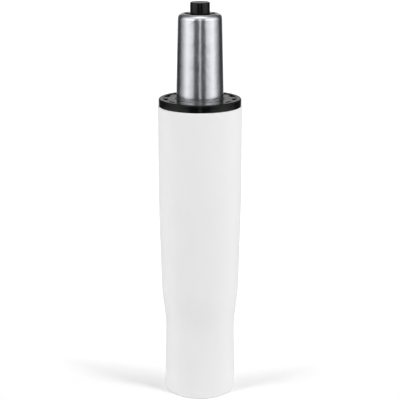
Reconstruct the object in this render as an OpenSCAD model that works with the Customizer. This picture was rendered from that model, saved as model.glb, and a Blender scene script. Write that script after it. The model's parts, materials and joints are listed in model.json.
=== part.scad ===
// Gas lift cylinder of a swivel chair, locked at its lowest height.
// The origin is the middle of the column's foot and the axis is Z.

/* [Column] */
// Outer diameter of the column's straight barrel
column_d = 50; // [48:0.5:56]
// Height of the column from its foot to its mouth
column_h = 180.25; // [170:0.25:260]
// Wall of the column
column_wall = 2; // [1.5:0.1:2.5]
// Length of the cone that wedges into a chair base
cone_h = 56; // [40:1:62]
// Length of cone for each millimetre of diameter that it loses
cone_ratio = 20; // [16:1:24]
// Length of the swaged shoulder under the cone
shoulder_h = 22; // [14:1:28]
// Diameter of the spigot where the shoulder ends
spigot_d = 42.4; // [40:0.2:44]
// Length of the spigot under the shoulder
spigot_h = 43; // [36:1:50]
// How far the spigot flares out on each side towards its foot
foot_flare = 0.7; // [0:0.1:1.2]
// Width of the foot's rim, rolled in under the bottom plate
foot_lip = 3; // [2:0.5:5]
// Radius of the bends above and below the shoulder
bend_r = 60; // [30:5:80]
// Rounding of the outer edges of the foot and the mouth
edge_round = 0.8; // [0.3:0.1:1.2]

/* [Guide bush] */
// How far the flange stays inside the column's outside on each side
flange_inset = 0.4; // [0:0.1:1]
// Height of the flange above the column's mouth
flange_h = 4.5; // [3.6:0.1:6]
// Rounding of the flange's upper edge
flange_round = 1; // [0.4:0.1:1.4]
// Width of the raised rim round the flange
rim_w = 2.9; // [2.5:0.1:4.5]
// Height of the raised rim above the flange's disc
rim_rise = 0.4; // [0.2:0.1:0.8]
// Number of moulded pockets inside the rim
pocket_count = 13; // [8:1:18]
// Length of a pocket along the rim
pocket_l = 5.2; // [2:0.1:6]
// Width of a pocket across the rim
pocket_w = 2.4; // [1:0.1:3]
// Width of the land between the rim and a pocket
pocket_inset = 0.3; // [0.2:0.1:1]
// Depth of a pocket below the disc
pocket_depth = 2.2; // [1:0.1:2.6]
// Length of the bush below the flange
bush_h = 60; // [40:1:75]
// Wall of the sleeve that guides the cylinder
sleeve_wall = 2.2; // [1.6:0.1:3]
// Height of the skirt that plugs the column's mouth
skirt_h = 14; // [8:1:24]
// Wall of that skirt
skirt_wall = 2; // [1.5:0.1:3]
// Height of the ring at the bush's lower end
bush_ring_h = 5; // [3:0.5:8]
// Number of ribs between the sleeve and the column
rib_count = 8; // [4:1:12]
// Thickness of a rib
rib_w = 2; // [1.2:0.1:3]
// Chamfer at both ends of the bush's bore
bore_chamfer = 0.6; // [0.3:0.1:1]

/* [Pressure cylinder] */
// Outer diameter of the pressure cylinder
cylinder_d = 28; // [27:0.5:30]
// Wall of the pressure cylinder
cylinder_wall = 1.5; // [1.2:0.1:1.8]
// Height of the cylinder above the flange when it is down
exposed_h = 49.75; // [44:0.25:80]
// Length of the seat taper at the cylinder's top
taper_h = 42; // [34:1:46]
// Rounding of the rolled shoulder at the top
top_round = 3; // [2:0.1:3.2]
// Diameter of the mouth in the top
mouth_d = 18.4; // [16:0.2:18.8]
// Rounding of that mouth's upper edge
mouth_round = 0.5; // [0.2:0.1:0.6]
// Rounding of the rolled lower end
end_round = 2.5; // [2:0.1:3.2]
// Diameter of the opening in the lower end
end_mouth_d = 16; // [14:0.5:19]

/* [Button and valve] */
// Diameter of the button
button_d = 11.5; // [10:0.1:12.5]
// Height of the button above the cylinder's top
button_h = 6.5; // [5:0.25:10]
// Length of the button inside the cap
button_reach = 5.5; // [4.5:0.5:8]
// Travel of the button
button_travel = 3; // [2:0.1:4]
// Rounding of the button's upper edge
button_round = 0.7; // [0.3:0.1:1.5]
// Depth of the cap's face below the cylinder's top
cap_recess = 0.8; // [0.4:0.1:1.2]
// Thickness of the cap's floor under the button
cap_floor = 2.2; // [1.5:0.1:4]
// Length of the cap's nose that closes the seal stack
nose_h = 5; // [3:0.5:7]
// Diameter of the valve pin
pin_d = 6; // [5:0.1:6.6]
// Depth of the pin in the button
pin_socket = 4.5; // [3:0.5:6]
// Depth of the neck round the pin
pin_neck = 0.8; // [0.4:0.1:1.2]
// Length of that neck
pin_neck_h = 4; // [3:0.5:5]
// Diameter of the pin's head
pin_head_d = 9; // [8:0.5:12]
// Height of the pin's head
pin_head_h = 2; // [1:0.5:4]
// Section of the sealing rings round the pin
pin_seal = 2.4; // [1.8:0.1:2.8]
// Height of the spacer between those rings
spacer_h = 6.6; // [5:0.1:9]
// Length of the valve body between the cap and the liner
valve_h = 32; // [27:1:38]
// Length of the valve body inside the liner
valve_spigot_h = 6; // [4:0.5:9]
// Height of the valve body's flange over the liner
valve_flange_h = 3; // [2:0.5:5]
// Height of the valve body's sealing land
valve_land_h = 8; // [6:0.5:9]
// Width of the gas gallery round the valve body
gallery_w = 2; // [1:0.1:2.6]
// Section of the sealing ring round the valve body
body_ring = 2.4; // [1.8:0.1:2.8]
// Number of gas ports and notches round the valve
port_count = 4; // [3:1:6]
// Diameter of a gas port
port_d = 2.2; // [1:0.1:3]
// Width of a gas notch
notch_w = 4; // [2:0.5:6]

/* [Gas spring] */
// Stroke of the cylinder
stroke = 80; // [60:1:110]
// Diameter of the piston rod
rod_d = 10; // [9:0.5:12]
// Diameter of the rod's lower end in the bearing
rod_end_d = 8; // [7:0.5:8.5]
// Diameter of the rod's stub in the piston
stub_d = 7; // [5:0.5:8]
// Height of the rod's riveted head over the piston
rivet_h = 2.4; // [1.5:0.1:4]
// Diameter of that head
rivet_d = 10.4; // [9:0.1:13]
// Gap for gas between the liner and the cylinder
bypass_gap = 1; // [0.6:0.1:1.3]
// Wall of the liner
liner_wall = 1.2; // [0.8:0.1:1.5]
// Height of the piston
piston_h = 12; // [8:0.5:18]
// Section of the piston's sealing ring
piston_ring = 2.6; // [1.8:0.1:3.2]
// Height of the washers on both sides of the piston
piston_washer_h = 1.5; // [1:0.1:2.5]
// Diameter of those washers
piston_washer_d = 16; // [13:0.5:18]
// Height of the rod guide
guide_h = 12; // [8:0.5:18]
// Height of the rod seal
seal_h = 6; // [4:0.5:9]
// Depth of the groove between the seal's lips
lip_depth = 2.5; // [1:0.1:3]
// Height of the washer over the seal
seal_washer_h = 1.5; // [1:0.1:3]
// Height of the liner seat's base
seat_base_h = 3; // [2:0.5:5]
// Height of the liner seat inside the liner
seat_spigot_h = 5; // [3:0.5:8]
// Depth of the gas channels in the liner seat
channel_depth = 1.6; // [1:0.1:2.4]

/* [Foot and bearing] */
// Height of the bottom plate's cup
plate_h = 9; // [8:0.5:14]
// Thickness of the bottom plate
plate_t = 3; // [2:0.1:4]
// Wall of the bottom plate's cup
plate_wall = 2.5; // [1.5:0.1:4]
// Diameter of a bearing ball
ball_d = 4; // [3:0.1:5]
// Number of bearing balls
ball_count = 10; // [6:1:10]
// Diameter of the circle of balls
ball_ring_d = 17; // [16.5:0.5:20]
// Height of a bearing race
race_h = 2; // [1.5:0.1:3]
// Width of a race outside its groove
race_rim = 1.5; // [1:0.1:2.5]
// Depth of a race's groove
groove_depth = 0.5; // [0.3:0.1:0.8]
// Height of the ball cage
cage_h = 1.6; // [1:0.1:2.2]
// Width of the cage round the balls
cage_rim = 1; // [0.6:0.1:1.2]
// Diameter of the rubber bumper
bumper_d = 22; // [18:0.5:26]
// Height of the rubber bumper
bumper_h = 5.6; // [4:0.1:9]
// Radius of the waist round the bumper
bumper_waist = 1.6; // [1:0.1:1.8]
// Diameter of the washer under the bottom plate
clip_washer_d = 18; // [14:0.5:24]
// Thickness of that washer
clip_washer_h = 1.2; // [0.8:0.1:1.6]
// Diameter of the retaining clip
clip_d = 15; // [13:0.5:18]
// Thickness of the retaining clip
clip_h = 1; // [0.6:0.1:1.4]
// Width of the clip's band
clip_band = 2; // [1.5:0.1:2.4]
// Width of the clip's inner lugs
clip_lug = 3.4; // [2:0.1:4]
// Depth of the rod's groove for the clip
clip_groove = 1; // [0.5:0.1:1.4]
// Length of the rod below that groove
rod_tip = 2; // [1.5:0.1:2.4]
// Chamfer at the rod's lower tip
tip_chamfer = 0.6; // [0.3:0.1:1]

/* [Clearances] */
// Radial gap where pieces slide or turn
running_gap = 0.08; // [0.03:0.01:0.1]
// Radial gap where pieces seat
seat_gap = 0.05; // [0.02:0.01:0.1]
// Gap at an end stop
stop_gap = 0.3; // [0.2:0.1:1]
// Loose radial gap round a shaft
loose_gap = 0.3; // [0.2:0.1:0.6]
// End play of the rod in the column
end_play = 0.2; // [0.1:0.1:0.5]
// Gap between a ball and its groove
ball_gap = 0.03; // [0.02:0.01:0.06]

/* [Hidden] */
$fn = 96;

// Cuts reach this far past what they cut
over = 1;
// Straight pieces that follow one bend
bend_steps = 6;
// Turn from the X axis to the front
front = -90;

// Column, from its foot upwards
column_r = column_d / 2;
spigot_r = spigot_d / 2;
foot_r = spigot_r + foot_flare;
cone_z = spigot_h + shoulder_h;
barrel_z = cone_z + cone_h;
cone_r = column_r - cone_h / cone_ratio / 2;
column_path = [
    [foot_r, 0],
    [spigot_r, spigot_h],
    [cone_r, cone_z],
    [column_r, barrel_z],
    [column_r, column_h],
];
foot_mouth_r = foot_r - column_wall - foot_lip;

// Inside radius of the column at a height
function column_bore(z) = lookup(z, [for (p = column_path) [p.y, p.x]]) - column_wall;

// Bottom plate and thrust bearing, stacked on the foot's rim
plate_top = column_wall + plate_h;
plate_r = min(column_bore(column_wall), column_bore(plate_top)) - seat_gap;
plate_under = plate_top - plate_t;
ball_r = ball_d / 2;
ball_ring_r = ball_ring_d / 2;
race_groove_r = ball_r + loose_gap / 2;
race_r = ball_ring_r + ball_r + race_rim;
lower_race_top = plate_top + race_h;
ball_z = lower_race_top - groove_depth + ball_gap + ball_r;
upper_race_z = 2 * ball_z - lower_race_top;
upper_race_top = upper_race_z + race_h;

// Rod and what hangs under the bottom plate
rod_r = rod_d / 2;
rod_end_r = rod_end_d / 2;
stub_r = stub_d / 2;
clip_washer_z = plate_under - end_play - clip_washer_h;
clip_z = clip_washer_z - clip_h;
clip_groove_r = rod_end_r - clip_groove;
rod_z = clip_z - seat_gap - rod_tip;
clip_r = clip_d / 2;
bumper_top = upper_race_top + bumper_h;

// Pressure cylinder, from its rolled lower end to its rolled top
cylinder_r = cylinder_d / 2;
cylinder_bore_r = cylinder_r - cylinder_wall;
cylinder_z = bumper_top + stop_gap;
cylinder_floor = cylinder_z + cylinder_wall;
flange_top = column_h + flange_h;
cylinder_top = flange_top + exposed_h;
cylinder_lip = cylinder_top - cylinder_wall;
taper_top = cylinder_top - top_round;
taper_z = taper_top - taper_h;
taper_r = cylinder_r - taper_h / cone_ratio / 2;
mouth_r = mouth_d / 2;
end_mouth_r = end_mouth_d / 2;

// Inside radius of the cylinder at a height
function cylinder_bore(z) = lookup(z, [[taper_z, cylinder_r], [taper_top, taper_r]]) - cylinder_wall;

// Guide bush in the column's mouth
flange_r = column_r - flange_inset;
rim_r = flange_r - rim_w;
disc_z = flange_top - rim_rise;
pocket_r = rim_r - pocket_inset;
pocket_z = disc_z - pocket_depth;
bush_bore_r = cylinder_r + running_gap;
sleeve_r = bush_bore_r + sleeve_wall;
bush_z = column_h - bush_h;
skirt_z = column_h - skirt_h;
skirt_r = column_bore(skirt_z) - seat_gap;
bush_ring_r = column_bore(bush_z) - seat_gap;
rib_r = bush_ring_r - loose_gap;
rib_z = bush_z + bush_ring_h / 2;
root_z = (column_h + pocket_z) / 2;

// Rod end of the cylinder, stacked on its rolled lower end
seal_z = cylinder_floor + guide_h;
seal_washer_z = seal_z + seal_h;
seat_z = seal_washer_z + seal_washer_h;
liner_z = seat_z + seat_base_h;
seat_top = liner_z + seat_spigot_h;
liner_r = cylinder_bore_r - bypass_gap;
liner_bore_r = liner_r - liner_wall;

// Piston on the rod, which stops just short of the liner seat when the cylinder is up
backing_z = seat_top + stroke + stop_gap;
piston_z = backing_z + piston_washer_h;
piston_top = piston_z + piston_h;
rivet_z = piston_top + piston_washer_h;
piston_r = liner_bore_r - running_gap;
piston_washer_r = piston_washer_d / 2;

// Button, cap and valve, hung from the rolled top
button_r = button_d / 2;
button_z = cylinder_top - button_reach;
button_top = cylinder_top + button_h;
cap_face = cylinder_top - cap_recess;
cap_floor_top = button_z - button_travel - stop_gap;
cap_z = cap_floor_top - cap_floor;
cap_r = cylinder_bore(taper_top) - seat_gap;
nose_z = cap_z - nose_h;
pin_r = pin_d / 2;
stack_r = pin_r + running_gap + pin_seal + seat_gap;
upper_seal_z = nose_z - pin_seal / 2;
spacer_top = nose_z - pin_seal;
spacer_z = spacer_top - spacer_h;
lower_seal_z = spacer_z - pin_seal / 2;
stack_z = spacer_z - pin_seal;
port_z = spacer_z + spacer_h / 2;
valve_z = cap_z - valve_h;
valve_end = valve_z - valve_spigot_h;
valve_spigot_r = liner_bore_r - seat_gap;
valve_flange_r = cylinder_bore(valve_z + valve_flange_h) - seat_gap;
valve_land_z = cap_z - valve_land_h;
valve_land_r = cap_r;
gallery_r = valve_land_r - gallery_w;
body_ring_z = cap_z - valve_land_h / 2;
body_ring_r = cylinder_bore(body_ring_z + body_ring / 2) - seat_gap - body_ring / 2;
pin_head_z = valve_end - seat_gap - pin_head_h;
pin_top = button_z + pin_socket;
pin_neck_z = spacer_z + stop_gap;

// Points of an arc that rounds corner b of the path a, b, c
function bend(a, b, c) =
    let (
        back = (a - b) / norm(a - b),
        ahead = (c - b) / norm(c - b),
        half = acos(back * ahead) / 2,
        centre = b + (back + ahead) / norm(back + ahead) * bend_r / sin(half),
        first = b + back * bend_r / tan(half) - centre,
        last = b + ahead * bend_r / tan(half) - centre
    )
    [
        for (i = [0:bend_steps])
            let (chord = first + (last - first) * i / bend_steps)
            centre + chord / norm(chord) * bend_r
    ];

// Rectangle in a profile, from one radius and height to another
module band(inner, outer, low, high) {
    translate([inner, low])
        square([outer - inner, high - low]);
}

// What a corner at the origin, with its body below and to the left, loses when it is rounded
module corner(r) {
    translate([-r, -r])
        difference() {
            square(r + over);
            circle(r);
        }
}

// Turned plain ring
module ring(inner, outer, low, high) {
    rotate_extrude()
        band(inner, outer, low, high);
}

// Round sealing ring of a given section
module sealing_ring(middle, section, z) {
    rotate_extrude()
        translate([middle, z])
            circle(d = section);
}

// Copies of a child, evenly spaced round the axis
module around(count) {
    for (i = [0:count - 1])
        rotate(i * 360 / count)
            children();
}

// White painted column with its cone, shoulder, spigot and rolled foot
module column_tube() {
    outside = concat(
        [column_path[0]],
        bend(column_path[0], column_path[1], column_path[2]),
        bend(column_path[1], column_path[2], column_path[3]),
        [column_path[3], column_path[4]]
    );
    inside = [for (i = [len(outside) - 1:-1:0]) outside[i] - [column_wall, 0]];
    color("whitesmoke")
        rotate_extrude()
            difference() {
                union() {
                    polygon(concat(outside, inside));
                    band(foot_mouth_r, foot_r - column_wall / 2, 0, column_wall);
                }
                translate([foot_r, 0])
                    mirror([0, 1])
                        corner(edge_round);
                translate([column_r, column_h])
                    corner(edge_round);
            }
}

// Black bush: flange with its rim, sleeve, skirt, lower ring and ribs
module guide_bush() {
    color("#1d1d1f")
        difference() {
            union() {
                rotate_extrude()
                    bush_profile();
                around(rib_count)
                    translate([sleeve_r - sleeve_wall / 2, -rib_w / 2, rib_z])
                        cube([rib_r - sleeve_r + sleeve_wall / 2, rib_w, root_z - rib_z]);
            }
            rotate(front)
                around(pocket_count)
                    pocket();
        }
}

module bush_profile() {
    difference() {
        union() {
            band(bush_bore_r, flange_r, column_h, flange_top);
            band(bush_bore_r, sleeve_r, bush_z, root_z);
            band(skirt_r - skirt_wall, skirt_r, skirt_z, root_z);
            band(bush_bore_r, bush_ring_r, bush_z, bush_z + bush_ring_h);
        }
        band(0, rim_r, disc_z, flange_top + over);
        translate([flange_r, flange_top])
            corner(flange_round);
        bore_lead_in(disc_z, 1);
        bore_lead_in(bush_z, -1);
    }
}

// Chamfer at one end of the bush's bore, where way is 1 for the upper end and -1 for the lower
module bore_lead_in(z, way) {
    translate([bush_bore_r, z])
        polygon([
            [-over, -way * (bore_chamfer + over)],
            [bore_chamfer + over, way * over],
            [-over, way * over],
        ]);
}

// One moulded pocket inside the raised rim
module pocket() {
    intersection() {
        ring(pocket_r - pocket_w, pocket_r, pocket_z, flange_top);
        translate([0, -pocket_l / 2, pocket_z - over])
            cube([flange_r, pocket_l, flange_h]);
    }
}

// Pressed steel cup inside the foot, which carries the bearing
module bottom_plate() {
    color("silver")
        rotate_extrude()
            difference() {
                union() {
                    band(rod_end_r + loose_gap, plate_r, plate_under, plate_top);
                    band(plate_r - plate_wall, plate_r, column_wall, plate_top);
                }
                translate([plate_r, plate_top])
                    corner(edge_round);
            }
}

// Race with a ball groove whose middle lies at a given height
module race(bore_r, low, groove_z) {
    rotate_extrude()
        difference() {
            band(bore_r, race_r, low, low + race_h);
            translate([ball_ring_r, groove_z])
                circle(race_groove_r);
        }
}

module lower_race() {
    color("lightgray")
        race(rod_end_r + loose_gap, plate_top, lower_race_top - groove_depth + race_groove_r);
}

module upper_race() {
    color("lightgray")
        race(rod_end_r + running_gap, upper_race_z, upper_race_z + groove_depth - race_groove_r);
}

module ball_cage() {
    color("#c9a24a")
        difference() {
            ring(
                ball_ring_r - ball_r - cage_rim, ball_ring_r + ball_r + cage_rim,
                ball_z - cage_h / 2, ball_z + cage_h / 2
            );
            around(ball_count)
                translate([ball_ring_r, 0, ball_z - cage_h])
                    cylinder(r = ball_r + running_gap, h = 2 * cage_h);
        }
}

module bearing_balls() {
    color("gainsboro")
        around(ball_count)
            translate([ball_ring_r, 0, ball_z])
                sphere(ball_r);
}

// Rod with its grooved lower end, its shoulder on the upper race, and the riveted stub
module piston_rod() {
    color("lightsteelblue")
        rotate_extrude()
            difference() {
                union() {
                    band(0, rod_end_r, rod_z, upper_race_top + over);
                    band(0, rod_r, upper_race_top, backing_z);
                    band(0, stub_r, backing_z - over, rivet_z + rivet_h / 2);
                    band(0, rivet_d / 2, rivet_z, rivet_z + rivet_h);
                }
                band(clip_groove_r, rod_r, clip_z - seat_gap, clip_washer_z + seat_gap);
                translate([rod_end_r, rod_z])
                    polygon([[-tip_chamfer - over, -over], [over, -over], [over, tip_chamfer + over]]);
                translate([rivet_d / 2, rivet_z + rivet_h])
                    corner(rivet_h / 2);
            }
}

// Rubber stop with a waist, on the rod over the upper race
module bumper() {
    color("#2a2a2a")
        rotate_extrude()
            difference() {
                band(rod_r + seat_gap, bumper_d / 2, upper_race_top, bumper_top);
                translate([bumper_d / 2, (upper_race_top + bumper_top) / 2])
                    circle(bumper_waist);
            }
}

module clip_washer() {
    color("silver")
        ring(rod_end_r + running_gap, clip_washer_d / 2, clip_washer_z, clip_washer_z + clip_washer_h);
}

// Spring clip with three lugs in the rod's groove, open on one side
module retaining_clip() {
    grip_r = clip_groove_r + seat_gap;
    color("dimgray")
        translate([0, 0, clip_z])
            linear_extrude(clip_h)
                difference() {
                    union() {
                        difference() {
                            circle(clip_r);
                            circle(clip_r - clip_band);
                        }
                        intersection() {
                            circle(clip_r - clip_band / 2);
                            for (turn = [0:90:180])
                                rotate(turn)
                                    translate([0, -clip_lug / 2])
                                        square([clip_r, clip_lug]);
                        }
                    }
                    circle(grip_r);
                    translate([-grip_r, -clip_d])
                        square([2 * grip_r, clip_d]);
                }
}

module piston_backing() {
    color("silver")
        ring(stub_r + seat_gap, piston_washer_r, backing_z, piston_z);
}

// Piston with the groove for its sealing ring
module piston() {
    groove_z = (piston_z + piston_top) / 2;
    color("#b9bcc2")
        rotate_extrude()
            difference() {
                band(stub_r + seat_gap, piston_r, piston_z, piston_top);
                band(
                    piston_r - piston_ring - seat_gap, piston_r + over,
                    groove_z - piston_ring / 2 - seat_gap, groove_z + piston_ring / 2 + seat_gap
                );
            }
}

module piston_seal() {
    color("#222222")
        sealing_ring(piston_r - piston_ring / 2, piston_ring, (piston_z + piston_top) / 2);
}

module piston_washer() {
    color("silver")
        ring(stub_r + seat_gap, piston_washer_r, piston_top, rivet_z);
}

// Brushed steel cylinder with rolled ends and the seat taper
module cylinder_tube() {
    taper_bore_r = taper_r - cylinder_wall;
    color("silver")
        rotate_extrude()
            difference() {
                union() {
                    polygon([
                        [end_mouth_r, cylinder_z],
                        [cylinder_r, cylinder_z],
                        [cylinder_r, taper_z],
                        [taper_r, taper_top],
                        [taper_r, cylinder_top],
                        [mouth_r, cylinder_top],
                        [mouth_r, cylinder_lip],
                        [taper_bore_r, cylinder_lip],
                        [taper_bore_r, taper_top],
                        [cylinder_bore_r, taper_z],
                        [cylinder_bore_r, cylinder_floor],
                        [end_mouth_r, cylinder_floor],
                    ]);
                    translate([taper_bore_r, cylinder_lip])
                        corner_fill(top_round - cylinder_wall);
                    translate([cylinder_bore_r, cylinder_floor])
                        mirror([0, 1])
                            corner_fill(end_round - cylinder_wall);
                }
                translate([taper_r, cylinder_top])
                    corner(top_round);
                translate([mouth_r, cylinder_top])
                    mirror([1, 0])
                        corner(mouth_round);
                translate([cylinder_r, cylinder_z])
                    mirror([0, 1])
                        corner(end_round);
            }
}

// Fillet in a hollow's corner at the origin, with the hollow below and to the left
module corner_fill(r) {
    translate([-r, -r])
        difference() {
            square(r + cylinder_wall / 3);
            circle(r);
        }
}

// Guide bush for the rod, on the cylinder's rolled end
module rod_guide() {
    color("#e8e4d8")
        rotate_extrude()
            difference() {
                band(rod_r + running_gap, cylinder_bore_r - seat_gap, cylinder_floor, seal_z);
                translate([cylinder_bore_r - seat_gap, cylinder_floor])
                    mirror([0, 1])
                        corner(end_round - cylinder_wall + seat_gap);
            }
}

// Rubber seal with a groove between its inner and outer lip
module rod_seal() {
    middle_r = (rod_r + cylinder_bore_r) / 2;
    color("#262626")
        rotate_extrude()
            difference() {
                band(rod_r + running_gap, cylinder_bore_r - seat_gap, seal_z, seal_washer_z);
                translate([middle_r, seal_washer_z])
                    circle(lip_depth);
            }
}

module seal_washer() {
    color("silver")
        ring(rod_r + loose_gap, cylinder_bore_r - seat_gap, seal_washer_z, seat_z);
}

// Ring that centres the liner, with channels that let gas pass under it
module liner_seat() {
    seat_spigot_r = liner_bore_r - seat_gap;
    color("#d9d4c4")
        difference() {
            union() {
                ring(rod_r + loose_gap, cylinder_bore_r - seat_gap, seat_z, liner_z);
                ring(rod_r + loose_gap, seat_spigot_r, seat_z, seat_top);
            }
            around(port_count)
                translate([seat_spigot_r - channel_depth, -notch_w / 2, seat_z - over])
                    cube([cylinder_r, notch_w, seat_top - seat_z + 2 * over]);
        }
}

module liner() {
    color("#c8ccd0")
        ring(liner_bore_r, liner_r, liner_z, valve_z);
}

// Valve block: spigot in the liner, notched flange, gas gallery, ports and sealing land
module valve_body() {
    color("#a9adb3")
        difference() {
            rotate_extrude()
                valve_profile();
            around(port_count) {
                translate([liner_r - liner_wall / 2, -notch_w / 2, valve_z - over])
                    cube([cylinder_r, notch_w, valve_flange_h + 2 * over]);
                translate([stack_r - over, 0, port_z])
                    rotate([0, 90, 0])
                        cylinder(d = port_d, h = cylinder_r);
            }
        }
}

module valve_profile() {
    difference() {
        union() {
            band(pin_r + loose_gap, valve_spigot_r, valve_end, valve_z + valve_flange_h);
            band(pin_r + loose_gap, gallery_r, valve_z, cap_z);
            band(gallery_r - over, valve_flange_r, valve_z, valve_z + valve_flange_h);
            band(gallery_r - over, valve_land_r, valve_land_z, cap_z);
        }
        band(0, stack_r, stack_z, cap_z + over);
        band(
            body_ring_r - body_ring / 2 - seat_gap, cylinder_r,
            body_ring_z - body_ring / 2 - seat_gap, body_ring_z + body_ring / 2 + seat_gap
        );
    }
}

module body_seal() {
    color("#222222")
        sealing_ring(body_ring_r, body_ring, body_ring_z);
}

module lower_pin_seal() {
    color("#222222")
        sealing_ring(stack_r - seat_gap - pin_seal / 2, pin_seal, lower_seal_z);
}

// Spacer that holds the two pin seals apart and feeds the ports
module valve_spacer() {
    color("#b08d57")
        difference() {
            ring(pin_r + loose_gap, stack_r - seat_gap, spacer_z, spacer_top);
            around(port_count)
                translate([0, 0, port_z])
                    rotate([0, 90, 0])
                        cylinder(d = port_d, h = cylinder_r);
        }
}

module upper_pin_seal() {
    color("#222222")
        sealing_ring(stack_r - seat_gap - pin_seal / 2, pin_seal, upper_seal_z);
}

// Black cap under the rolled top, with the button's bore and the nose over the seals
module valve_cap() {
    color("#202022")
        rotate_extrude()
            difference() {
                union() {
                    band(pin_r + running_gap, stack_r - seat_gap, nose_z, cap_floor_top);
                    band(pin_r + running_gap, cap_r, cap_z, cylinder_lip);
                    band(pin_r + running_gap, mouth_r - seat_gap, cap_z, cap_face);
                }
                band(0, button_r + running_gap, cap_floor_top, cylinder_top);
                translate([cap_r, cylinder_lip])
                    corner(top_round - cylinder_wall + seat_gap);
            }
}

// Pin under the button: head, shank and the neck that lets gas past the lower seal
module valve_pin() {
    color("gainsboro")
        rotate_extrude()
            difference() {
                union() {
                    band(0, pin_head_d / 2, pin_head_z, pin_head_z + pin_head_h);
                    band(0, pin_r, pin_head_z, pin_top);
                }
                band(pin_r - pin_neck, pin_d, pin_neck_z, pin_neck_z + pin_neck_h);
            }
}

module release_button() {
    color("#161618")
        rotate_extrude()
            difference() {
                band(0, button_r, button_z, button_top);
                band(0, pin_r + seat_gap, button_z - over, pin_top);
                translate([button_r, button_top])
                    corner(button_round);
            }
}

column_tube();
guide_bush();
bottom_plate();
lower_race();
ball_cage();
bearing_balls();
piston_rod();
upper_race();
bumper();
clip_washer();
retaining_clip();
piston_backing();
piston();
piston_seal();
piston_washer();
cylinder_tube();
rod_guide();
rod_seal();
seal_washer();
liner_seat();
liner();
valve_body();
body_seal();
lower_pin_seal();
valve_spacer();
upper_pin_seal();
valve_cap();
valve_pin();
release_button();
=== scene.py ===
"""Looks of a chair gas lift cylinder: its pieces, finishes and studio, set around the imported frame."""

import json
import math

import bmesh
import bpy
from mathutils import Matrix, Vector


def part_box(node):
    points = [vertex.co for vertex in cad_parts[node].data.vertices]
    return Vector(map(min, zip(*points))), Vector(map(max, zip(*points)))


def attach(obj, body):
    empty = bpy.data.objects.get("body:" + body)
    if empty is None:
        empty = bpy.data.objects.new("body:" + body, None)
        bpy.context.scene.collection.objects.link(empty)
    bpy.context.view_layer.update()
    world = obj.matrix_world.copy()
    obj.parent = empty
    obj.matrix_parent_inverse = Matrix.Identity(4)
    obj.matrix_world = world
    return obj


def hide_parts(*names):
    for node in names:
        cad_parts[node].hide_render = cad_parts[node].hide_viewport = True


bl_info = {
    "name": "Chair gas lift cylinder",
    "version": (1, 0, 0),
    "blender": (4, 5, 0),
    "location": "3D View > Sidebar > Gas lift",
    "description": "Pieces, finishes and studio of a chair gas lift cylinder",
    "category": "Object",
}

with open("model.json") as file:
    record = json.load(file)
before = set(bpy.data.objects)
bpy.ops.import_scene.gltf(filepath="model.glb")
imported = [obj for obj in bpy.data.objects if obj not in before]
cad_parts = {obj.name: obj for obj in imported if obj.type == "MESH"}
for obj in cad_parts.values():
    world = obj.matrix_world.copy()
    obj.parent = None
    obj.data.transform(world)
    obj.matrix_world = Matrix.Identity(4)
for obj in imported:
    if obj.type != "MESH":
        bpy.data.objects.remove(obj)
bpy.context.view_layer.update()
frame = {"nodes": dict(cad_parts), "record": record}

# Facets round the axis, a whole number for each pocket of the collar
FACETS = 208
# Widest turn of one facet along a rounded corner, and the fewest facets that a corner gets
ARC_STEP = math.radians(9)
LEAST_STEPS = 6
# Edges that turn by more than this stay crisp
CRISP_ANGLE = math.radians(32)
# Points closer to the axis than this lie on it
ON_AXIS = 1e-7
# How far a cut reaches past the face that it opens
CUT_OVER = 0.001


# Sizes that the frame gives

def radius_of(node):
    """Outer radius of a round CAD node."""
    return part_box(node)[1].x


def top_of(node):
    """Height of a CAD node's top."""
    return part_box(node)[1].z


def foot_of(node):
    """Height of a CAD node's lowest point."""
    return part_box(node)[0].z


bodies = frame["record"]["behaviour"]["bodies"]
body_of = {node: body for body, nodes in bodies.items() for node in nodes}
slot_of = {part["node"]: part["material_slot"] for part in frame["record"]["subparts"]}


# Settings that a user would change

def number(name, description, default, **limits):
    """Property for a number."""
    return bpy.props.FloatProperty(name=name, description=description, default=default, **limits)


def length(name, description, default):
    """Property for a length in metres."""
    return number(name, description, default, precision=5, unit="LENGTH")


def count(name, description, default):
    """Property for a whole number of copies."""
    return bpy.props.IntProperty(name=name, description=description, default=default, min=1)


def share(name, description, default):
    """Property for a number from 0 to 1."""
    return number(name, description, default, min=0, max=1, subtype="FACTOR")


def angle(name, description, degrees):
    """Property for an angle, given in degrees."""
    return number(name, description, math.radians(degrees), subtype="ANGLE", unit="ROTATION")


def amount(name, description, default):
    """Property for a strength or a power."""
    return number(name, description, default, min=0)


def colour(name, description, default):
    """Property for a colour."""
    return bpy.props.FloatVectorProperty(
        name=name, description=description, default=default, size=3, min=0, max=1, subtype="COLOR",
    )


class ColumnSizes(bpy.types.PropertyGroup):
    """Sizes of the white column."""

    radius: length("Radius", "Radius of the straight barrel", radius_of("column_tube"))
    height: length("Height", "Height of the column's mouth", top_of("column_tube"))
    wall: length("Wall", "Wall of the tube", 0.002)
    cone_length: length("Cone", "Length of the cone that wedges into a chair base", 0.056)
    cone_drop: length("Cone drop", "Radius that the cone loses over its length", 0.0014)
    shoulder_length: length("Shoulder", "Length of the swaged shoulder under the cone", 0.022)
    spigot_length: length("Spigot", "Length of the spigot under the shoulder", 0.043)
    spigot_radius: length("Spigot radius", "Radius of the spigot where the shoulder ends", 0.0212)
    foot_radius: length("Foot radius", "Radius of the foot", 0.0219)
    foot_mouth: length("Foot mouth", "Radius of the opening in the foot", 0.0169)
    bend: length("Bend", "Radius of the bends above and below the shoulder", 0.06)
    cone_blend: length("Cone blend", "Radius of the blend between the cone and the barrel", 0.3)
    edge: length("Edge", "Rounding of the outer edges", 0.0008)
    burr: length("Inner edge", "Rounding of the inner edges", 0.0003)


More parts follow.
